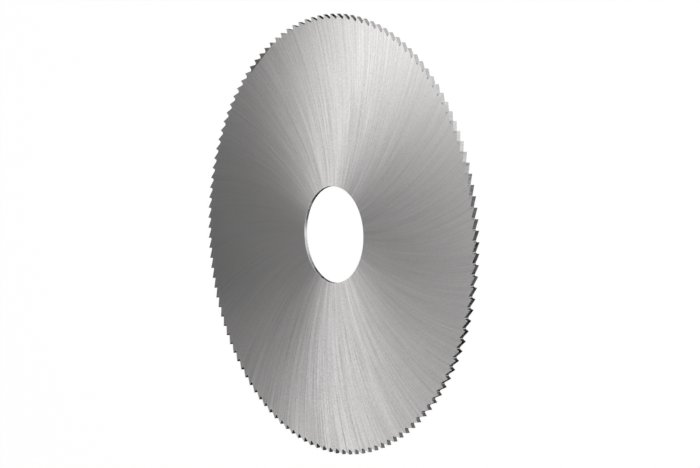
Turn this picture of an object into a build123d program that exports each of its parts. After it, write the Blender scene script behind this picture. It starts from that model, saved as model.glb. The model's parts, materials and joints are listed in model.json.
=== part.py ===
from build123d import *
import os

# Metal slitting saw: one disc of hardened tool steel with fine triangular teeth,
# a plain arbor bore and two hollow ground faces, so that only the corners of the
# teeth touch the walls of the cut. Sizes are in millimetres and degrees. The bore
# runs along Z, the origin is at mid-thickness and +X passes through a tooth tip.

# Driving sizes of the disc
OUTER_DIAMETER = 100.0
BORE_DIAMETER = 22.0
HUB_DIAMETER = 40.0
RIM_THICKNESS = 1.0
HUB_THICKNESS = 0.75
BORE_EDGE_BREAK = 0.06

# Driving sizes of the teeth
TOOTH_COUNT = 128
RAKE_ANGLE = 0.0
BACK_ANGLE = 30.0
GULLET_RADIUS = 0.3

# How far a cutting shape runs past the steel that it removes
OVERRUN = 0.4

# Derived sizes
OUTER_RADIUS = OUTER_DIAMETER / 2
BORE_RADIUS = BORE_DIAMETER / 2
HUB_RADIUS = HUB_DIAMETER / 2
PITCH_ANGLE = 360.0 / TOOTH_COUNT


def heading(angle):
    """Unit vector in the XY plane, at an angle in degrees from +X."""
    return Vector(1, 0).rotate(Axis.Z, angle)


def crossing(start, direction, other_start, other_direction):
    """Point where two straight lines in the XY plane cross."""
    gap = other_start - start
    reach = gap.cross(other_direction).Z / direction.cross(other_direction).Z
    return start + direction * reach


def half_thickness(radius):
    """Half the thickness that the grinding leaves at a radius outside the hub."""
    share = (radius - HUB_RADIUS) / (OUTER_RADIUS - HUB_RADIUS)
    return (HUB_THICKNESS + share * (RIM_THICKNESS - HUB_THICKNESS)) / 2


def gullet():
    """Space between two teeth: one tooth's back, a round root, the next tooth's face."""
    back_tip = heading(0) * OUTER_RADIUS
    back_rise = heading(90 - BACK_ANGLE)
    face_tip = heading(-PITCH_ANGLE) * OUTER_RADIUS
    face_rise = heading(RAKE_ANGLE - PITCH_ANGLE)
    root = crossing(back_tip, back_rise, face_tip, face_rise)
    back_end = back_tip + back_rise * OVERRUN
    face_end = face_tip + face_rise * OVERRUN
    walls = FilletPolyline(back_end, root, face_end, radius=GULLET_RADIUS)
    return make_face(walls + Line(face_end, back_end))


def toothed_outline():
    """The round blank with one gullet cut behind every tooth."""
    gullets = [place * gullet() for place in PolarLocations(0, TOOTH_COUNT)]
    return Circle(OUTER_RADIUS) - gullets


def ground_body():
    """What the grinding leaves: flat hub lands, dished faces and an eased bore."""
    half_hub = HUB_THICKNESS / 2
    edge = OUTER_RADIUS + OVERRUN
    upper = Polyline(
        (BORE_RADIUS, 0),
        (BORE_RADIUS, half_hub - BORE_EDGE_BREAK),
        (BORE_RADIUS + BORE_EDGE_BREAK, half_hub),
        (HUB_RADIUS, half_hub),
        (edge, half_thickness(edge)),
        (edge, 0),
    )
    section = make_face(upper + mirror(upper, about=Plane.XZ))
    return revolve(Plane.XZ * section, Axis.Z)


def saw_disc():
    """The whole saw: the toothed outline carried through the ground body."""
    blank = extrude(toothed_outline(), amount=RIM_THICKNESS / 2 + OVERRUN, both=True)
    return blank & ground_body()


os.makedirs("parts", exist_ok=True)
disc = saw_disc()
disc.label = "saw_disc"
export_step(disc, "parts/saw_disc.step")
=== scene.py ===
# %% [markdown]
# # A metal slitting saw
#
# The object is one thin disc of tool steel: fine teeth round the rim, a plain bore
# for the arbor, and two faces ground with long curved marks. The CAD model gives the
# true sizes, and this lesson builds the same disc again with Geometry Nodes, so that
# each kind of surface can have its own finish. Everything is in metres, in the
# frame of the CAD model: the bore runs along Z and the disc lies flat.

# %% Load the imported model
import json
from collections import namedtuple
from math import cos, pi, radians, sin

import bpy
from mathutils import Matrix, Vector


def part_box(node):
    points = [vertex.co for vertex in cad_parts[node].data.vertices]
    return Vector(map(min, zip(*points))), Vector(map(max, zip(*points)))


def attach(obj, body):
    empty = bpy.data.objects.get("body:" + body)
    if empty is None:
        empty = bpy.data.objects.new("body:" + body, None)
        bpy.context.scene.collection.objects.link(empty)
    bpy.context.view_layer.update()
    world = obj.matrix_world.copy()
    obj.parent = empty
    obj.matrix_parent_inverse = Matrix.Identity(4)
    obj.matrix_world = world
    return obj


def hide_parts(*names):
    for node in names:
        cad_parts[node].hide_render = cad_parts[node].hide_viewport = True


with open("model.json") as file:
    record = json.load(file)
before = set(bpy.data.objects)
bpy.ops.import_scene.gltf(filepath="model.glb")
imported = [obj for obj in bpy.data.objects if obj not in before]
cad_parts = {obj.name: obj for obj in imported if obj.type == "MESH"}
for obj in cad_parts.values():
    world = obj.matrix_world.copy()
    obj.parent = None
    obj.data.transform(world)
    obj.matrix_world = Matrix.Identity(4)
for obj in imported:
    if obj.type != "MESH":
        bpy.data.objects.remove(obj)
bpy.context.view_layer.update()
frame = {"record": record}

# %% [markdown]
# ## Sizes
#
# The disc's sizes come from the frame wherever the frame holds them: the outer
# radius and the rim's thickness from the box of the node, the bore from its mount,
# and the thickness at the hub from the mount on the hub's land. Only what the frame
# doesn't say is written here: the number of teeth and the form of one tooth.

# %% Sizes of the disc and its teeth
MM = 0.001
LOW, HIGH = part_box("saw_disc")
MOUNTS = {mount["name"]: mount for mount in frame["record"]["mounts"]}

OUTER_RADIUS = HIGH.x
RIM_THICKNESS = HIGH.z - LOW.z
BORE_RADIUS = MOUNTS["bore"]["dims"]["r_mm"] * MM
HUB_THICKNESS = 2 * MOUNTS["hub_land_top"]["pos_m"][2]
BORE_EDGE_BREAK = (HUB_THICKNESS - MOUNTS["bore"]["dims"]["length_mm"] * MM) / 2
HUB_RADIUS = 20 * MM

TOOTH_COUNT = 128
BACK_ANGLE = radians(30)
GULLET_RADIUS = 0.3 * MM

print(f"disc {2 * OUTER_RADIUS / MM:.1f} mm, rim {RIM_THICKNESS / MM:.2f} mm, "
      f"bore {2 * BORE_RADIUS / MM:.1f} mm, hub {HUB_THICKNESS / MM:.2f} mm")

# %% [markdown]
# ## Helpers for building nodes
#
# A node tree is easier to read when adding a node, setting its inputs and joining
# its sockets takes one line. An input may be given a plain value or a socket.

# %% Node helpers
def add_node(tree, kind, inputs=None, **settings):
    """Add a node, set its properties, then fill or link the inputs that are given."""
    node = tree.nodes.new(kind)
    for name, value in settings.items():
        setattr(node, name, value)
    for key, value in (inputs or {}).items():
        socket = node.inputs[key]
        if isinstance(value, bpy.types.NodeSocket):
            tree.links.new(value, socket)
        else:
            socket.default_value = value
    return node


def calculate(tree, operation, first, second=None, third=None):
    """One step of arithmetic on plain numbers, on whatever tree it is added to."""
    given = {0: first, 1: second, 2: third}
    inputs = {key: value for key, value in given.items() if value is not None}
    return add_node(tree, "ShaderNodeMath", inputs, operation=operation).outputs[0]


def calculate_vector(tree, operation, first, second=None, scale=None):
    """One step of arithmetic on vectors. Length and dot product give a number."""
    inputs = {0: first}
    if second is not None:
        inputs[1] = second
    if scale is not None:
        inputs["Scale"] = scale
    node = add_node(tree, "ShaderNodeVectorMath", inputs, operation=operation)
    return node.outputs["Value" if operation in ("LENGTH", "DOT_PRODUCT") else 0]


def combine(tree, x, y, z):
    """A vector from three numbers."""
    return add_node(tree, "ShaderNodeCombineXYZ", {0: x, 1: y, 2: z}).outputs[0]


def new_tree(name, kind, sockets):
    """A node group with named sockets, each given as in or out, name and type."""
    tree = bpy.data.node_groups.new(name, kind)
    for direction, socket_name, socket_type in sockets:
        tree.interface.new_socket(socket_name, in_out=direction, socket_type=socket_type)
    return tree, add_node(tree, "NodeGroupInput").outputs, add_node(tree, "NodeGroupOutput").inputs


print("helpers ready")

# %% [markdown]
# ## The shape of one tooth
#
# On the real saw every tooth is the same: a cutting face that points straight at the
# bore, a round gullet, and a straight back that climbs to the next tip. So one line
# from tip to root to tip, with the root rounded, holds the whole form. The root lies
# where the back meets the radius through the first tip, which the law of sines gives.

# %% One tooth as a curve
ARC_POINTS = 8


def tooth_curve(tree, outer, pitch, back_angle, gullet_radius):
    """The outline from one tooth tip, round the gullet, up to the next tip."""
    slant = calculate(tree, "COSINE", calculate(tree, "SUBTRACT", back_angle, pitch))
    share = calculate(tree, "DIVIDE", calculate(tree, "COSINE", back_angle), slant)
    root = combine(tree, calculate(tree, "MULTIPLY", outer, share), 0.0, 0.0)
    first_tip = combine(tree, outer, 0.0, 0.0)
    next_tip = combine(
        tree,
        calculate(tree, "MULTIPLY", outer, calculate(tree, "COSINE", pitch)),
        calculate(tree, "MULTIPLY", outer, calculate(tree, "SINE", pitch)),
        0.0,
    )
    corner = add_node(tree, "GeometryNodeIndexSwitch", data_type="VECTOR")
    corner.index_switch_items.new()
    tree.links.new(add_node(tree, "GeometryNodeInputIndex").outputs[0], corner.inputs["Index"])
    for place, point in enumerate((first_tip, root, next_tip)):
        tree.links.new(point, corner.inputs[1 + place])
    line = add_node(tree, "GeometryNodeMeshLine", {"Count": 3})
    bent = add_node(tree, "GeometryNodeSetPosition",
                    {"Geometry": line.outputs[0], "Position": corner.outputs[0]})
    curve = add_node(tree, "GeometryNodeMeshToCurve", {0: bent.outputs[0]})
    return add_node(tree, "GeometryNodeFilletCurve",
                    {"Curve": curve.outputs[0], "Count": ARC_POINTS, "Radius": gullet_radius},
                    mode="POLY").outputs[0]


print("tooth curve: tip, rounded root with", ARC_POINTS, "points, next tip")

# %% [markdown]
# ## From one tooth to a slice of the disc
#
# A slice of the disc one tooth wide is swept from that line. Its edge is drawn out in
# steps: up to the face, in over the dished face to the hub, across the flat land, over
# the eased corner of the bore and down its wall. Each step carries a zone number, so
# that the faces, the tooth gaps and the bore can be given different steel. The inner
# rings lag a little behind the teeth, which keeps every face of the mesh well shaped.

# %% One slice of the disc
ZONE_FACE, ZONE_TOOTH, ZONE_BORE = 0, 1, 2
RING_RADII = [48.4 * MM, 46.0 * MM, 40.0 * MM, 32.0 * MM, 25.0 * MM]
RING_LAG = 0.3


def named(tree, name, kind="FLOAT"):
    """Reads a value that was stored on the geometry under a name."""
    node = add_node(tree, "GeometryNodeInputNamedAttribute", {"Name": name}, data_type=kind)
    return node.outputs[0]


def dished_height(tree, radius, outer, hub, half_rim, half_hub):
    """Half the thickness at a radius: flat on the hub, then a straight climb to the rim."""
    climb = add_node(tree, "ShaderNodeMapRange",
                     {"Value": radius, "From Min": hub, "From Max": outer,
                      "To Min": half_hub, "To Max": half_rim})
    return climb.outputs[0]


def draw_out(tree, mesh, edges, position, zone):
    """Extrudes the open edges to a new place and marks the new faces with their zone."""
    grown = add_node(tree, "GeometryNodeExtrudeMesh",
                     {"Mesh": mesh, "Offset Scale": 0.0}, mode="EDGES")
    if edges is not None:
        tree.links.new(edges, grown.inputs["Selection"])
    placed = add_node(tree, "GeometryNodeSetPosition",
                      {"Geometry": grown.outputs["Mesh"], "Selection": grown.outputs["Top"],
                       "Position": position})
    marked = add_node(tree, "GeometryNodeStoreNamedAttribute",
                      {"Geometry": placed.outputs[0], "Selection": grown.outputs["Side"],
                       "Name": "zone", "Value": zone}, data_type="INT", domain="FACE")
    return marked.outputs[0], grown.outputs["Top"]


def on_ring(tree, radius, height):
    """The place of a slice's point on a ring, from the angle stored on it."""
    angle = named(tree, "ring_angle")
    return combine(
        tree,
        calculate(tree, "MULTIPLY", radius, calculate(tree, "COSINE", angle)),
        calculate(tree, "MULTIPLY", radius, calculate(tree, "SINE", angle)),
        height,
    )


print("rings on the face at", [round(radius / MM, 1) for radius in RING_RADII], "mm")

# %% [markdown]
# ## The whole disc
#
# The slice is the upper half only. Copies of it stand on as many points as there are
# teeth, each turned by one pitch. Then the lot is mirrored for the lower half, welded,
# and handed its materials by zone. The sizes are named inputs of the tree, so another
# saw of the family needs other numbers and not another tree.

# %% The Geometry Nodes tree
SAW_INPUTS = [
    ("Outer Radius", "NodeSocketFloat"),
    ("Bore Radius", "NodeSocketFloat"),
    ("Hub Radius", "NodeSocketFloat"),
    ("Rim Thickness", "NodeSocketFloat"),
    ("Hub Thickness", "NodeSocketFloat"),
    ("Bore Edge Break", "NodeSocketFloat"),
    ("Teeth", "NodeSocketInt"),
    ("Back Angle", "NodeSocketFloat"),
    ("Gullet Radius", "NodeSocketFloat"),
    ("Face Steel", "NodeSocketMaterial"),
    ("Tooth Steel", "NodeSocketMaterial"),
    ("Bore Steel", "NodeSocketMaterial"),
]
WELD_DISTANCE = 0.002 * MM


def half_slice(tree, given, pitch):
    """The upper half of one slice, from the middle of its edge to the middle of the bore."""
    outer, hub, bore = given["Outer Radius"], given["Hub Radius"], given["Bore Radius"]
    half_rim = calculate(tree, "MULTIPLY", given["Rim Thickness"], 0.5)
    half_hub = calculate(tree, "MULTIPLY", given["Hub Thickness"], 0.5)
    edge_break = given["Bore Edge Break"]

    curve = tooth_curve(tree, outer, pitch, given["Back Angle"], given["Gullet Radius"])
    along = add_node(tree, "GeometryNodeSplineParameter").outputs["Factor"]
    lagging = calculate(tree, "SUBTRACT", along, RING_LAG)
    stored = add_node(tree, "GeometryNodeStoreNamedAttribute",
                      {"Geometry": curve, "Name": "ring_angle",
                       "Value": calculate(tree, "MULTIPLY", lagging, pitch)},
                      data_type="FLOAT", domain="POINT")
    mesh = add_node(tree, "GeometryNodeCurveToMesh", {0: stored.outputs[0]}).outputs[0]

    here = add_node(tree, "GeometryNodeInputPosition").outputs[0]
    flat = calculate_vector(tree, "MULTIPLY", here, (1.0, 1.0, 0.0))
    reach = calculate_vector(tree, "LENGTH", flat)
    rim_height = dished_height(tree, reach, outer, hub, half_rim, half_hub)
    at_rim = calculate_vector(tree, "ADD", flat, combine(tree, 0.0, 0.0, rim_height))
    mesh, top = draw_out(tree, mesh, None, at_rim, ZONE_TOOTH)

    for radius in RING_RADII:
        height = dished_height(tree, radius, outer, hub, half_rim, half_hub)
        mesh, top = draw_out(tree, mesh, top, on_ring(tree, radius, height), ZONE_FACE)
    land_start = calculate(tree, "ADD", bore, edge_break)
    wall_top = calculate(tree, "SUBTRACT", half_hub, edge_break)
    for radius, height, zone in (
        (hub, half_hub, ZONE_FACE),
        (land_start, half_hub, ZONE_FACE),
        (bore, wall_top, ZONE_BORE),
        (bore, 0.0, ZONE_BORE),
    ):
        mesh, top = draw_out(tree, mesh, top, on_ring(tree, radius, height), zone)
    return mesh


def ring_of_slices(tree, slice_mesh, teeth, pitch):
    """One slice for each tooth, turned about the bore and made real."""
    points = add_node(tree, "GeometryNodePoints", {"Count": teeth})
    index = add_node(tree, "GeometryNodeInputIndex").outputs[0]
    turn = combine(tree, 0.0, 0.0, calculate(tree, "MULTIPLY", index, pitch))
    placed = add_node(tree, "GeometryNodeInstanceOnPoints",
                      {"Points": points.outputs[0], "Instance": slice_mesh, "Rotation": turn})
    return add_node(tree, "GeometryNodeRealizeInstances", {0: placed.outputs[0]}).outputs[0]


def saw_tree():
    """The tree that makes the whole disc from its named sizes."""
    tree, given, result = new_tree(
        "Slitting saw", "GeometryNodeTree",
        [("INPUT", name, kind) for name, kind in SAW_INPUTS]
        + [("OUTPUT", "Geometry", "NodeSocketGeometry")],
    )
    pitch = calculate(tree, "DIVIDE", 2 * pi, given["Teeth"])
    swept = ring_of_slices(tree, half_slice(tree, given, pitch), given["Teeth"], pitch)
    upper = add_node(tree, "GeometryNodeFlipFaces", {0: swept}).outputs[0]
    lower = add_node(tree, "GeometryNodeTransform",
                     {"Geometry": swept, "Scale": (1.0, 1.0, -1.0)}).outputs[0]
    both = add_node(tree, "GeometryNodeJoinGeometry")
    tree.links.new(upper, both.inputs[0])
    tree.links.new(lower, both.inputs[0])
    welded = add_node(tree, "GeometryNodeMergeByDistance",
                      {"Geometry": both.outputs[0], "Distance": WELD_DISTANCE})
    body = add_node(tree, "GeometryNodeRealizeInstances", {0: welded.outputs[0]}).outputs[0]
    zone_steel = {ZONE_FACE: "Face Steel", ZONE_TOOTH: "Tooth Steel", ZONE_BORE: "Bore Steel"}
    for zone, steel in zone_steel.items():
        here = add_node(tree, "FunctionNodeCompare", data_type="INT", operation="EQUAL")
        tree.links.new(named(tree, "zone", "INT"), here.inputs[2])
        here.inputs[3].default_value = zone
        body = add_node(tree, "GeometryNodeSetMaterial",
                        {"Geometry": body, "Selection": here.outputs[0],
                         "Material": given[steel]}).outputs[0]
    tree.links.new(body, result[0])
    return tree


SAW_TREE = saw_tree()
print("tree with", len(SAW_TREE.nodes), "nodes")

# %% [markdown]
# ## The camera
#
# The photo looks down on the disc from a little over a third of the way up, with the
# camera rolled a quarter turn, so the disc seems to stand on its edge. The view is
# written as the steps that bring the disc in front of the lens: a turn about the
# bore, a lean, a small tilt and a push back. The camera is the reverse of that. A
# separate program found these numbers from the outline and the bore in the photo.

# %% Camera
CAMERA_PUSH = Vector((-3.46053, -0.11184, -580.09)) * MM
CAMERA_TILT, CAMERA_LEAN, CAMERA_TURN = radians(3.922), radians(-52.4177), radians(1.1987)
LENS_MM = 131.36
CLIP_START, CLIP_END = 10 * MM, 20.0


def make_camera():
    """The camera of the photo, from the turns that put the disc in front of it."""
    seen_from_lens = (
        Matrix.Translation(CAMERA_PUSH)
        @ Matrix.Rotation(CAMERA_TILT, 4, "X")
        @ Matrix.Rotation(CAMERA_LEAN, 4, "Y")
        @ Matrix.Rotation(CAMERA_TURN, 4, "Z")
    )
    data = bpy.data.cameras.new("Photo camera")
    data.lens = LENS_MM
    data.clip_start, data.clip_end = CLIP_START, CLIP_END
    camera = bpy.data.objects.new("Photo camera", data)
    camera.matrix_world = seen_from_lens.inverted()
    bpy.context.scene.collection.objects.link(camera)
    bpy.context.scene.camera = camera
    return camera


CAMERA = make_camera()
TO_CAMERA = CAMERA.matrix_world.translation.normalized()
print("camera looks from", [round(value, 3) for value in TO_CAMERA])

# %% [markdown]
# ## What grinding leaves behind
#
# Each face is ground by a wheel that crosses the turning disc, so its marks start
# straight at the hub and lean further and further over towards the teeth: each one is
# part of a large circle. The angle by which such a mark has turned at a radius is
# short arithmetic. Taking that angle away unwinds the marks into straight spokes, and
# a noise that is stretched along the spokes then gives bundles of fine scratches. A
# spoke grows wider outwards and a scratch doesn't, so three noises, each as fine as
# its own ring needs, take over from one another.
#
# All of it goes into one node group. It reads the place on the disc and puts out five
# plain values: the marks, a few stronger scratches, broad fans of lighter and darker
# grinding, a fine grain, and how strongly all of them show there. That last is painted
# light: it is strongest where the bright fans fall.

# %% Values of the grinding marks
ARC_RADIUS = 80 * MM
STRAIGHT_RADIUS = 14 * MM
MARK_WIDTH = 0.7 * MM
MARK_LENGTH = 40 * MM
SCRATCH_WIDTH = 0.4 * MM
GRAIN_SIZE = 0.3 * MM
FAN_COUNT = 8.0

MARK_RINGS = [13 * MM, 26 * MM, 47 * MM]
RING_OVERLAP = 1.1
LAYER_SHIFT, SCRATCH_SHIFT, FAN_SHIFT = 10.0, 40.0, 50.0
MARK_DETAIL, MARK_CRISPNESS = 3.0, 0.75
MARK_SPREAD, FAN_SPREAD = 0.3, 0.2
SCRATCH_EDGE, SCRATCH_CORE = 0.18, 0.28
# How strongly the marks show on each side: painted light that follows the bright fans.
LIT_STRENGTH_AT_MINUS_X, LIT_STRENGTH_AT_PLUS_X, FULL_LIT_STRENGTH = 0.2, 0.45, 1.0

MARK_SOCKETS = [
    ("INPUT", "Position", "NodeSocketVector"),
    ("INPUT", "Arc Radius", "NodeSocketFloat"),
    ("INPUT", "Straight Radius", "NodeSocketFloat"),
    ("INPUT", "Mark Width", "NodeSocketFloat"),
    ("INPUT", "Mark Length", "NodeSocketFloat"),
    ("INPUT", "Scratch Width", "NodeSocketFloat"),
    ("INPUT", "Grain Size", "NodeSocketFloat"),
    ("OUTPUT", "Marks", "NodeSocketFloat"),
    ("OUTPUT", "Scratches", "NodeSocketFloat"),
    ("OUTPUT", "Fans", "NodeSocketFloat"),
    ("OUTPUT", "Grain", "NodeSocketFloat"),
    ("OUTPUT", "Lit Strength", "NodeSocketFloat"),
]

print(f"marks {MARK_WIDTH / MM:.1f} mm wide on arcs of {ARC_RADIUS / MM:.0f} mm")


# %% Helpers for noise and soft steps
def noise(tree, vector, detail=0.0, rough=0.5):
    """Smooth noise between 0 and 1, with one lump to each unit of the vector."""
    node = add_node(tree, "ShaderNodeTexNoise",
                    {"Vector": vector, "Scale": 1.0, "Detail": detail, "Roughness": rough})
    return node.outputs[0]


def blend(tree, share, first, second):
    """Goes from the first value to the second as the share goes from 0 to 1."""
    mix = add_node(tree, "ShaderNodeMix", data_type="FLOAT")
    for key, value in ((0, share), (2, first), (3, second)):
        if isinstance(value, bpy.types.NodeSocket):
            tree.links.new(value, mix.inputs[key])
        else:
            mix.inputs[key].default_value = value
    return mix.outputs[0]


def fade(tree, value, start, end, low=0.0, high=1.0):
    """A soft step from low to high between start and end."""
    return add_node(tree, "ShaderNodeMapRange",
                    {"Value": value, "From Min": start, "From Max": end,
                     "To Min": low, "To Max": high},
                    interpolation_type="SMOOTHSTEP").outputs[0]


def centred(tree, value, spread):
    """Turns a noise about 0.5 into a value about 0 that fills -1 to 1."""
    return fade(tree, value, 0.5 - spread, 0.5 + spread, -1.0, 1.0)


def product(tree, values):
    """Multiplies all the values of a list together."""
    result = values[0]
    for value in values[1:]:
        result = calculate(tree, "MULTIPLY", result, value)
    return result


print("helpers for noise ready")


# %% The grinding marks as a node group
def unwound_spoke(tree, given, axes, radius):
    """The direction in which the mark that passes here leaves the hub."""
    angle = calculate(tree, "ARCTAN2", axes[1], axes[0])
    straight = calculate(tree, "POWER", given["Straight Radius"], 2.0)
    reach = calculate(tree, "ADD", radius, calculate(tree, "DIVIDE", straight, radius))
    circle = calculate(tree, "MULTIPLY", given["Arc Radius"], 2.0)
    turned = calculate(tree, "DIVIDE", reach, circle)
    turned = calculate(tree, "MULTIPLY", turned, calculate(tree, "SIGN", axes[2]))
    return calculate(tree, "SUBTRACT", angle, turned)


def layered_marks(tree, given, radius, spokes):
    """Bundles of marks as wide everywhere: three noises that take over ring by ring."""
    layers = []
    for place, ring in enumerate(MARK_RINGS):
        count = calculate(tree, "DIVIDE", ring, given["Mark Width"])
        layers.append(noise(tree, spokes(count, LAYER_SHIFT * place), MARK_DETAIL, MARK_CRISPNESS))
    inner, middle, outer = MARK_RINGS
    outwards = fade(tree, radius, inner * RING_OVERLAP, middle)
    marks = blend(tree, outwards, layers[0], layers[1])
    outwards = fade(tree, radius, middle * RING_OVERLAP, outer / RING_OVERLAP)
    return centred(tree, blend(tree, outwards, marks, layers[2]), MARK_SPREAD)


def single_scratches(tree, given, spokes):
    """A few lines stronger than the rest: 1 on a bright one, -1 on a dark one, else 0."""
    count = calculate(tree, "DIVIDE", MARK_RINGS[-1], given["Scratch Width"])
    lines = noise(tree, spokes(count, SCRATCH_SHIFT))
    bright = fade(tree, lines, 0.5 + SCRATCH_EDGE, 0.5 + SCRATCH_CORE)
    dark = fade(tree, lines, 0.5 - SCRATCH_EDGE, 0.5 - SCRATCH_CORE)
    return calculate(tree, "SUBTRACT", bright, dark)


def lit_mark_strength(tree, axes, radius):
    """Painted light: how strongly the marks show, fully towards both Y sides where the bright fans
    lie, and least towards -X.
    """
    sideways = calculate(tree, "POWER", calculate(tree, "DIVIDE", axes[1], radius), 2.0)
    lightest = add_node(tree, "ShaderNodeMapRange",
                        {"Value": calculate(tree, "DIVIDE", axes[0], radius), "From Min": -1.0,
                         "From Max": 1.0, "To Min": LIT_STRENGTH_AT_MINUS_X, "To Max": LIT_STRENGTH_AT_PLUS_X})
    return blend(tree, sideways, lightest.outputs[0], FULL_LIT_STRENGTH)


def marks_group():
    """Long fine marks that unwind from the hub along gentle arcs, and what goes with them."""
    tree, given, result = new_tree("Grinding marks", "ShaderNodeTree", MARK_SOCKETS)
    axes = add_node(tree, "ShaderNodeSeparateXYZ", {0: given["Position"]}).outputs
    radius = calculate_vector(tree, "LENGTH", combine(tree, axes[0], axes[1], 0.0))
    spoke = unwound_spoke(tree, given, axes, radius)
    cosine, sine = calculate(tree, "COSINE", spoke), calculate(tree, "SINE", spoke)
    along = calculate(tree, "DIVIDE", radius, given["Mark Length"])

    def spokes(count, shift):
        """The place in a noise where the whole turn holds about six times count lumps."""
        return combine(tree, calculate(tree, "MULTIPLY", cosine, count),
                       calculate(tree, "MULTIPLY", sine, count),
                       calculate(tree, "ADD", along, shift))

    fans = noise(tree, spokes(FAN_COUNT, FAN_SHIFT), MARK_DETAIL)
    fineness = calculate(tree, "DIVIDE", 1.0, given["Grain Size"])
    grain = noise(tree, calculate_vector(tree, "SCALE", given["Position"], scale=fineness))
    values = {
        "Marks": layered_marks(tree, given, radius, spokes),
        "Scratches": single_scratches(tree, given, spokes),
        "Fans": centred(tree, fans, FAN_SPREAD),
        "Grain": calculate(tree, "MULTIPLY_ADD", grain, 2.0, -1.0),
        "Lit Strength": lit_mark_strength(tree, axes, radius),
    }
    for name, value in values.items():
        tree.links.new(value, result[name])
    return tree


MARKS = marks_group()
print("grinding marks:", len(MARKS.nodes), "nodes")

# %% [markdown]
# ## Helpers for the steels
#
# All the steels start alike: an empty material with one metal shader, a group of marks
# placed in it, and levels that those marks raise and lower a little. Each of these steps
# is a helper, so that a steel's own function holds only what sets it apart.

# %% Helpers for the steels
def new_material(name):
    """An empty node material with its Principled shader joined to the output."""
    material = bpy.data.materials.new(name)
    material.use_nodes = True
    tree = material.node_tree
    tree.nodes.clear()
    shader = add_node(tree, "ShaderNodeBsdfPrincipled")
    output = add_node(tree, "ShaderNodeOutputMaterial")
    tree.links.new(shader.outputs[0], output.inputs[0])
    return material, tree, shader


def place_group(tree, group_tree, place, sizes):
    """Puts a node group in a material, with the place on the disc and its own sizes."""
    group = add_node(tree, "ShaderNodeGroup", node_tree=group_tree)
    tree.links.new(place, group.inputs["Position"])
    for name, value in sizes.items():
        group.inputs[name].default_value = value
    return group.outputs


def varied(tree, level, changes, amounts):
    """Adds each change to a level, times its amount."""
    for name, amount in amounts.items():
        level = calculate(tree, "MULTIPLY_ADD", changes[name], amount, level)
    return level


print("helpers for the steels ready")

# %% [markdown]
# ## A dark sliver at the rim
#
# At one place on the rim the photo shows a few dark teeth. The dark ends inwards at a
# straight line. Three soft steps describe it: past the line, past its first end and
# short of its last. A fourth, hard one keeps it to the upper face. Multiplied, they give
# one mask, which holds the face steel darker there and nowhere else.

# %% The dark sliver at the rim
SLIVER_DIRECTION = radians(126)
SLIVER_START = 48.34 * MM
SLIVER_FIRST_END, SLIVER_LAST_END = -7.9 * MM, 3.3 * MM
SLIVER_BLUR = 0.2 * MM
SLIVER_SHADE = 0.44


def sliver_shade(tree, place):
    """Full on the faces, darker in one sliver of the upper face past a straight line near the rim."""
    outward = (cos(SLIVER_DIRECTION), sin(SLIVER_DIRECTION), 0.0)
    sideways = (-sin(SLIVER_DIRECTION), cos(SLIVER_DIRECTION), 0.0)
    reach = calculate_vector(tree, "DOT_PRODUCT", place, outward)
    aside = calculate_vector(tree, "DOT_PRODUCT", place, sideways)
    height = add_node(tree, "ShaderNodeSeparateXYZ", {0: place}).outputs[2]
    in_sliver = product(tree, [
        fade(tree, reach, SLIVER_START, SLIVER_START + SLIVER_BLUR),
        fade(tree, aside, SLIVER_FIRST_END, SLIVER_FIRST_END + SLIVER_BLUR),
        fade(tree, aside, SLIVER_LAST_END, SLIVER_LAST_END - SLIVER_BLUR),
        calculate(tree, "GREATER_THAN", height, 0.0),
    ])
    return blend(tree, in_sliver, 1.0, SLIVER_SHADE)


print(f"sliver starts {SLIVER_START / MM:.2f} mm from the axis")

# %% [markdown]
# ## The steel of the ground faces
#
# Ground steel mirrors a lamp sharply along its scratches and smears it across them, so
# bright fans stand on both sides of the bore and swing round when the disc turns. The
# metal shader does that by itself once it is made anisotropic and its tangent points
# across the scratches, and the same arithmetic that bends the marks gives that
# direction. The marks only vary the steel: they shade it, roughen it and raise it, each
# as far as their strength on that side allows. In the photo they show most towards the
# two Y sides of the disc and least towards its -X side, and that strength copies it. It
# is painted light: it follows where the bright fans fall, on grinding that is even all
# round. The roughness may only change a little: a streak that is much smoother than its
# neighbour mirrors a dark gap between two lamps and turns into a black line.

# %% The steel of the faces
FACE_LEVEL = 0.71
FACE_TINT = (1.02, 1.0, 0.995)
FACE_ROUGHNESS = 0.39
FACE_ANISOTROPY = 0.82
SHADES = {"Marks": 0.13, "Scratches": 0.1, "Fans": 0.02, "Grain": 0.12}
ROUGHNESSES = {"Marks": 0.08, "Scratches": 0.03, "Fans": 0.01, "Grain": 0.04}
MARK_DEPTH = 0.012 * MM
SCRATCH_HEIGHT = 0.3


def across_marks(tree, place):
    """The direction over the face that crosses the grinding marks."""
    axes = add_node(tree, "ShaderNodeSeparateXYZ", {0: place}).outputs
    flat = combine(tree, axes[0], axes[1], 0.0)
    radius = calculate_vector(tree, "LENGTH", flat)
    outward = calculate_vector(tree, "NORMALIZE", flat)
    around = calculate_vector(tree, "CROSS_PRODUCT", (0.0, 0.0, 1.0), outward)
    square = calculate(tree, "MULTIPLY", radius, radius)
    gain = calculate(tree, "SUBTRACT", square, STRAIGHT_RADIUS**2)
    lean = calculate(tree, "DIVIDE", gain, calculate(tree, "MULTIPLY", radius, 2 * ARC_RADIUS))
    lean = calculate(tree, "MULTIPLY", lean, calculate(tree, "SIGN", axes[2]))
    left = calculate(tree, "SUBTRACT", 1.0, calculate(tree, "MULTIPLY", lean, lean))
    return calculate_vector(
        tree, "SUBTRACT",
        calculate_vector(tree, "SCALE", around, scale=calculate(tree, "SQRT", left)),
        calculate_vector(tree, "SCALE", outward, scale=lean),
    )


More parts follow.
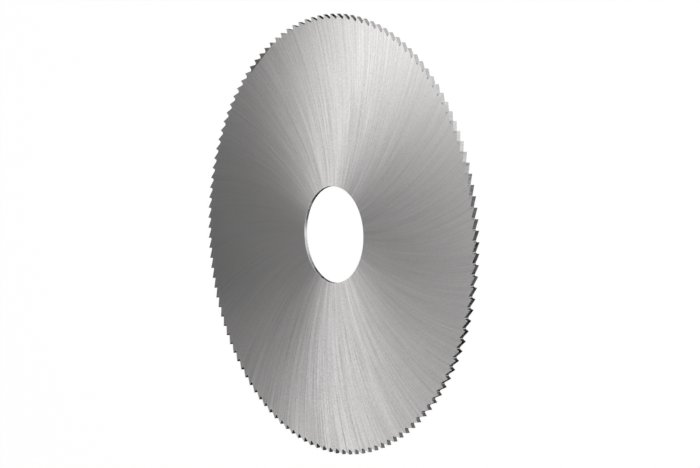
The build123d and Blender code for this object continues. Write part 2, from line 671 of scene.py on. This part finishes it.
def face_steel():
    """Bright ground steel that smears the light across its curved grinding marks."""
    material, tree, shader = new_material("Ground face steel")
    shader.inputs["Metallic"].default_value = 1.0
    shader.inputs["Anisotropic"].default_value = FACE_ANISOTROPY
    place = add_node(tree, "ShaderNodeTexCoord").outputs["Object"]
    tree.links.new(across_marks(tree, place), shader.inputs["Tangent"])
    marks = place_group(tree, MARKS, place, {
        "Arc Radius": ARC_RADIUS, "Straight Radius": STRAIGHT_RADIUS, "Mark Width": MARK_WIDTH,
        "Mark Length": MARK_LENGTH, "Scratch Width": SCRATCH_WIDTH, "Grain Size": GRAIN_SIZE,
    })
    # The marks are real grinding; how strongly they show on each side is painted light.
    lit_marks = {name: calculate(tree, "MULTIPLY", marks[name], marks["Lit Strength"]) for name in SHADES}
    shade = varied(tree, FACE_LEVEL, lit_marks, SHADES)
    shade = calculate(tree, "MULTIPLY", shade, sliver_shade(tree, place))
    tinted = calculate_vector(tree, "SCALE", FACE_TINT, scale=shade)
    tree.links.new(tinted, shader.inputs["Base Color"])
    roughness = varied(tree, FACE_ROUGHNESS, lit_marks, ROUGHNESSES)
    tree.links.new(roughness, shader.inputs["Roughness"])
    height = varied(tree, lit_marks["Marks"], lit_marks, {"Scratches": SCRATCH_HEIGHT})
    bump = add_node(tree, "ShaderNodeBump",
                    {"Height": height, "Strength": 1.0, "Distance": MARK_DEPTH})
    tree.links.new(bump.outputs[0], shader.inputs["Normal"])
    return material


FACE_STEEL = face_steel()
print("face steel with", len(FACE_STEEL.node_tree.nodes), "nodes")

# %% [markdown]
# ## The walls of the tooth gaps and the bore
#
# The walls between the two faces are thin, and in the photo they run from nearly white
# to nearly black within a few teeth: they mirror bright panels and the dark between
# them. A wall that stands upright on a white sheet can't do that, since it mirrors
# nothing but the sheet. So the shading of these walls is leaned back by a bump whose
# height falls evenly towards the top, while the shape itself stays upright. They then
# mirror the lamps and the dark room instead, and the light alone makes them bright or
# dark.
#
# The walls are cut and not ground like the faces. A group of its own puts fine cutter
# marks across them and soft stains over those, and both steels use it. In the photo the
# cutting faces and the bottoms of the gullets are darker than the backs of the teeth,
# so a mask of its own holds them back: that is painted shade in the colour of the steel.

# %% Marks of the cutter as a node group
CUTTER_MARK_WIDTH = 0.07 * MM
CUTTER_MARK_LENGTH = 1.5 * MM
CUTTER_DETAIL, STAIN_DETAIL = 2.0, 3.0
CUTTER_SPREAD, STAIN_SPREAD = 0.3, 0.2


def cutter_marks_group():
    """Fine marks that a cutter leaves on a wall, and stains that lie over them."""
    tree, given, result = new_tree(
        "Cutter marks", "ShaderNodeTree",
        [("INPUT", "Position", "NodeSocketVector"), ("INPUT", "Mark Width", "NodeSocketFloat"),
         ("INPUT", "Mark Length", "NodeSocketFloat"), ("OUTPUT", "Marks", "NodeSocketFloat"),
         ("OUTPUT", "Stain", "NodeSocketFloat")],
    )
    narrow = calculate(tree, "DIVIDE", 1.0, given["Mark Width"])
    long = calculate(tree, "DIVIDE", 1.0, given["Mark Length"])
    stretched = calculate_vector(tree, "MULTIPLY", given["Position"],
                                 combine(tree, narrow, narrow, long))
    lines = noise(tree, stretched, CUTTER_DETAIL)
    tree.links.new(centred(tree, lines, CUTTER_SPREAD), result["Marks"])
    patches = noise(tree, calculate_vector(tree, "SCALE", given["Position"], scale=long),
                    STAIN_DETAIL)
    tree.links.new(centred(tree, patches, STAIN_SPREAD), result["Stain"])
    return tree


CUTTER_MARKS = cutter_marks_group()
print("cutter marks:", len(CUTTER_MARKS.nodes), "nodes")


# %% The steel of the walls and the bore
WALL_LEVEL = 0.56
WALL_LEAN = 1.0
WALL_ROUGHNESS = 0.25
WALL_SHADES = {"Stain": 0.12, "Marks": 0.15}
WALL_ROUGHNESSES = {"Stain": 0.05, "Marks": 0.06}
CUTTER_MARK_DEPTH = 0.0005 * MM


def wall_steel(name, darker=None):
    """Cut grey steel whose shading leans back, with painted shade from a mask where one is given."""
    material, tree, shader = new_material(name)
    shader.inputs["Metallic"].default_value = 1.0
    coordinates = add_node(tree, "ShaderNodeTexCoord").outputs
    marks = place_group(tree, CUTTER_MARKS, coordinates["Object"], {
        "Mark Width": CUTTER_MARK_WIDTH, "Mark Length": CUTTER_MARK_LENGTH,
    })
    shade = calculate(tree, "MULTIPLY", varied(tree, 1.0, marks, WALL_SHADES), WALL_LEVEL)
    # Where a mask is given, it paints shade into the colour.
    if darker is not None:
        shade = calculate(tree, "MULTIPLY", shade, darker(tree, coordinates))
    tree.links.new(combine(tree, shade, shade, shade), shader.inputs["Base Color"])
    roughness = varied(tree, WALL_ROUGHNESS, marks, WALL_ROUGHNESSES)
    tree.links.new(roughness, shader.inputs["Roughness"])
    up = add_node(tree, "ShaderNodeSeparateXYZ", {0: coordinates["Object"]}).outputs[2]
    lean = calculate(tree, "MULTIPLY", up, -WALL_LEAN)
    height = calculate(tree, "MULTIPLY_ADD", marks["Marks"], CUTTER_MARK_DEPTH, lean)
    bump = add_node(tree, "ShaderNodeBump", {"Height": height, "Strength": 1.0, "Distance": 1.0})
    tree.links.new(bump.outputs[0], shader.inputs["Normal"])
    return material


BORE_STEEL = wall_steel("Bore steel")
print("bore steel with", len(BORE_STEEL.node_tree.nodes), "nodes")


# %% The steel of the tooth gaps
# Painted shade: how dark the cutting faces and the bottoms of the gullets are drawn.
PAINTED_CUTTING_FACE_SHADE = 0.26
CUTTING_FACE_LIMIT, BACK_LIMIT = 0.3, 0.8
PAINTED_ROOT_SHADE = 0.35
ROOT_START, ROOT_END = 48.7 * MM, 49.1 * MM


def painted_gap_shade(tree, coordinates):
    """Painted shade: full on the backs of the teeth, less on the cutting faces and in the gullets."""
    flat = calculate_vector(tree, "MULTIPLY", coordinates["Object"], (1.0, 1.0, 0.0))
    outward = calculate_vector(tree, "NORMALIZE", flat)
    facing = calculate_vector(tree, "DOT_PRODUCT", coordinates["Normal"], outward)
    on_back = fade(tree, facing, CUTTING_FACE_LIMIT, BACK_LIMIT, PAINTED_CUTTING_FACE_SHADE, 1.0)
    radius = calculate_vector(tree, "LENGTH", flat)
    above_root = fade(tree, radius, ROOT_START, ROOT_END, PAINTED_ROOT_SHADE, 1.0)
    return calculate(tree, "MULTIPLY", on_back, above_root)


TOOTH_STEEL = wall_steel("Tooth gap steel", painted_gap_shade)
print("tooth gap steel with", len(TOOTH_STEEL.node_tree.nodes), "nodes")

# %% [markdown]
# ## Growing the disc
#
# Now the tree and the three steels come together. A modifier on an empty mesh runs the
# tree, and what comes out is kept as a plain mesh, because a plain mesh is what other
# programs can read. The real disc has no soft corners, and the eased edge of the bore is
# a flat of its own, so every edge that turns by more than 30 degrees is marked sharp and
# only the faces, the gullets and the bore's wall are shaded smooth.

# %% The disc as one mesh
SHARP_ANGLE = radians(30)


def disc_sizes():
    """What the tree's named inputs are set to for this saw."""
    return {
        "Outer Radius": OUTER_RADIUS, "Bore Radius": BORE_RADIUS, "Hub Radius": HUB_RADIUS,
        "Rim Thickness": RIM_THICKNESS, "Hub Thickness": HUB_THICKNESS,
        "Bore Edge Break": BORE_EDGE_BREAK, "Teeth": TOOTH_COUNT,
        "Back Angle": BACK_ANGLE, "Gullet Radius": GULLET_RADIUS,
        "Face Steel": FACE_STEEL, "Tooth Steel": TOOTH_STEEL, "Bore Steel": BORE_STEEL,
    }


def grown_mesh(tree, sizes):
    """Runs the tree once on an empty mesh and keeps its result as a plain mesh."""
    seed = bpy.data.objects.new("disc_seed", bpy.data.meshes.new("disc_seed"))
    bpy.context.scene.collection.objects.link(seed)
    maker = seed.modifiers.new("Slitting saw", "NODES")
    maker.node_group = tree
    for socket in tree.interface.items_tree:
        if socket.in_out == "INPUT":
            maker[socket.identifier] = sizes[socket.name]
    bpy.context.view_layer.update()
    grown = seed.evaluated_get(bpy.context.evaluated_depsgraph_get())
    mesh = bpy.data.meshes.new_from_object(grown)
    bpy.data.objects.remove(seed)
    return mesh


def make_disc():
    """The finished disc, with sharp corners and smooth faces."""
    mesh = grown_mesh(SAW_TREE, disc_sizes())
    mesh.name = "slitting_saw_disc"
    if mesh.materials[0] is None:
        mesh.materials.pop(index=0)
    mesh.shade_smooth()
    mesh.set_sharp_from_angle(angle=SHARP_ANGLE)
    disc = bpy.data.objects.new("slitting_saw_disc", mesh)
    bpy.context.scene.collection.objects.link(disc)
    return disc


DISC = make_disc()
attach(DISC, "root")
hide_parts("saw_disc")
print("disc with", len(DISC.data.polygons), "faces and", len(DISC.data.materials), "steels")

# %% [markdown]
# ## The floor
#
# The saw lies on a plain pale sheet, and the photo shows no edge or horizon, only white.
# A brighter lamp would wash out the steel, so the sheet helps itself: rays that come
# straight from the camera, or by way of a mirror or glass, see mostly an even glow of
# about 1, which is white. All other rays see the plain sheet, which still takes light
# and shadow as paper does, and a share of that sheet stays under the glow.

# %% Floor
FLOOR_SIZE = 6.0
FLOOR_LEVEL = 0.92
FLOOR_ROUGHNESS = 0.9
FLOOR_GLOW = 1.05
GLOW_SHARE = 0.9


def floor_paper():
    """Matt pale paper that looks white to the camera, in mirrors and through glass."""
    material, tree, shader = new_material("Pale floor")
    shader.inputs["Base Color"].default_value = (FLOOR_LEVEL, FLOOR_LEVEL, FLOOR_LEVEL, 1)
    shader.inputs["Roughness"].default_value = FLOOR_ROUGHNESS
    shader.inputs["Specular IOR Level"].default_value = 0.0
    ray = add_node(tree, "ShaderNodeLightPath").outputs
    seen = calculate(tree, "MAXIMUM", ray["Is Camera Ray"], ray["Is Glossy Ray"])
    seen = calculate(tree, "MAXIMUM", seen, ray["Is Transmission Ray"])
    glow = add_node(tree, "ShaderNodeEmission", {"Strength": FLOOR_GLOW})
    both = add_node(tree, "ShaderNodeMixShader",
                    {0: calculate(tree, "MULTIPLY", seen, GLOW_SHARE),
                     1: shader.outputs[0], 2: glow.outputs[0]})
    tree.links.new(both.outputs[0], tree.get_output_node("ALL").inputs["Surface"])
    return material


def make_floor():
    """One wide square, level with the underside of the disc."""
    half, level = FLOOR_SIZE / 2, LOW.z
    corners = [(-half, -half, level), (half, -half, level), (half, half, level), (-half, half, level)]
    mesh = bpy.data.meshes.new("floor")
    mesh.from_pydata(corners, [], [(0, 1, 2, 3)])
    mesh.materials.append(floor_paper())
    floor = bpy.data.objects.new("floor", mesh)
    bpy.context.scene.collection.objects.link(floor)
    return floor


FLOOR = make_floor()
print(f"{FLOOR.name} {FLOOR_SIZE:.0f} m wide at {LOW.z / MM:.2f} mm")

# %% [markdown]
# ## The lamps
#
# Steel shows what stands round it, so the light is the larger half of its look. Soft
# panels hang in the air above the saw, all facing the bore. Two hang high over it, one
# towards the far side and one towards the camera, and draw the bright fans at the top
# and bottom of the photo. The others fill in the flanks of the fans and light the walls
# of the teeth that face the camera. The directions left dark give the contrast. Each
# panel is given by the angles and distance at which it hangs, its half sizes, how far it
# is rolled and how bright it looks, where 1 is plain white. Lamps let each other's light
# through, so brightness adds up wherever panels overlap. The two high ones do so right
# overhead, which leaves two nearly white fans on the steel when it is seen from straight
# above. The room itself is dark.
#
# The numbers of the panels were found by a separate program that fitted them to the
# photo, and then rounded. Two of the brightnesses were changed after that.

# %% Lamps
Panel = namedtuple("Panel", "azimuth elevation distance half_width half_height roll brightness")

PANELS = {
    "high far panel": Panel(azimuth=173, elevation=66, distance=515, half_width=205,
                            half_height=140, roll=-69, brightness=1.32),
    "high near panel": Panel(azimuth=13, elevation=67, distance=355, half_width=415,
                             half_height=145, roll=-82, brightness=1.07),
    "near panel": Panel(azimuth=-21, elevation=45, distance=385, half_width=150,
                        half_height=365, roll=1, brightness=0.22),
    "low side panel": Panel(azimuth=75, elevation=28, distance=430, half_width=225,
                            half_height=75, roll=-41, brightness=1.08),
    "side strip": Panel(azimuth=-116, elevation=48, distance=350, half_width=40,
                        half_height=290, roll=-89, brightness=0.48),
    "far strip": Panel(azimuth=165, elevation=38, distance=350, half_width=155,
                       half_height=40, roll=-85, brightness=0.59),
}


def make_lamp(name, panel):
    """A soft rectangular lamp that faces the bore and has the brightness of its panel."""
    azimuth, elevation = radians(panel.azimuth), radians(panel.elevation)
    sideways = Vector((-sin(azimuth), cos(azimuth), 0.0))
    away = Vector((cos(azimuth) * cos(elevation), sin(azimuth) * cos(elevation), sin(elevation)))
    axes = Matrix((sideways, away.cross(sideways), away)).transposed().to_4x4()
    data = bpy.data.lights.new(name, "AREA")
    data.shape = "RECTANGLE"
    data.size, data.size_y = 2 * panel.half_width * MM, 2 * panel.half_height * MM
    data.energy = panel.brightness * pi * data.size * data.size_y
    lamp = bpy.data.objects.new(name, data)
    stand = Matrix.Translation(away * panel.distance * MM)
    lamp.matrix_world = stand @ axes @ Matrix.Rotation(radians(panel.roll), 4, "Z")
    bpy.context.scene.collection.objects.link(lamp)
    return lamp


LAMPS = [make_lamp(name, panel) for name, panel in PANELS.items()]
print(len(LAMPS), "lamps of", [round(lamp.data.energy, 2) for lamp in LAMPS], "watts")


# %% Dark room and plain picture
def make_room():
    """A room that gives no light of its own."""
    world = bpy.data.worlds.new("Dark room")
    world.use_nodes = True
    world.node_tree.nodes["Background"].inputs["Strength"].default_value = 0.0
    bpy.context.scene.world = world
    return world


ROOM = make_room()
bpy.context.scene.view_settings.view_transform = "Standard"
print("room", ROOM.name, "and picture", bpy.context.scene.view_settings.view_transform)
